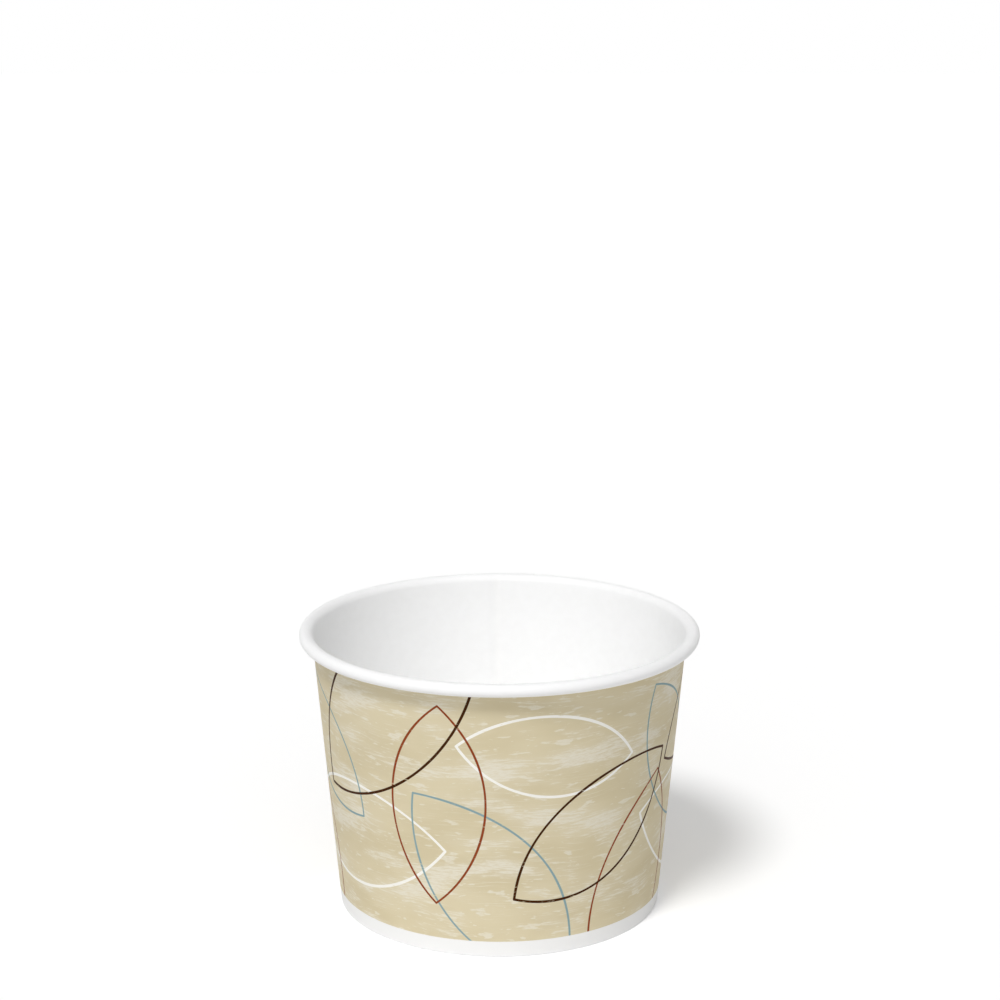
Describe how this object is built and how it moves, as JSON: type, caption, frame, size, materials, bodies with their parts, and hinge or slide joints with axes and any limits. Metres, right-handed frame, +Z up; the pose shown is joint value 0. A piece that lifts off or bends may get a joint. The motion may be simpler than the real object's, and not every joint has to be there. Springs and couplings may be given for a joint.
{
  "type": "paper dessert cup",
  "caption": "Squat tapered paper cup with a rolled rim, a lapped side seam and a bottom disc held in a folded hem.",
  "frame": {"origin": "centre of the base, on the plane that the cup stands on", "axes": "+Z up along the cup's axis, out of its mouth; +Y towards the side seam, so the picture looks along +Y"},
  "size_m": [0.098, 0.0984, 0.07],
  "materials": {
    "sidewall_board": "satin",
    "disc_board": "satin"
  },
  "bodies": {
    "root": {"sidewall": "sidewall_board", "bottom_disc": "disc_board"}
  },
  "joints": []
}
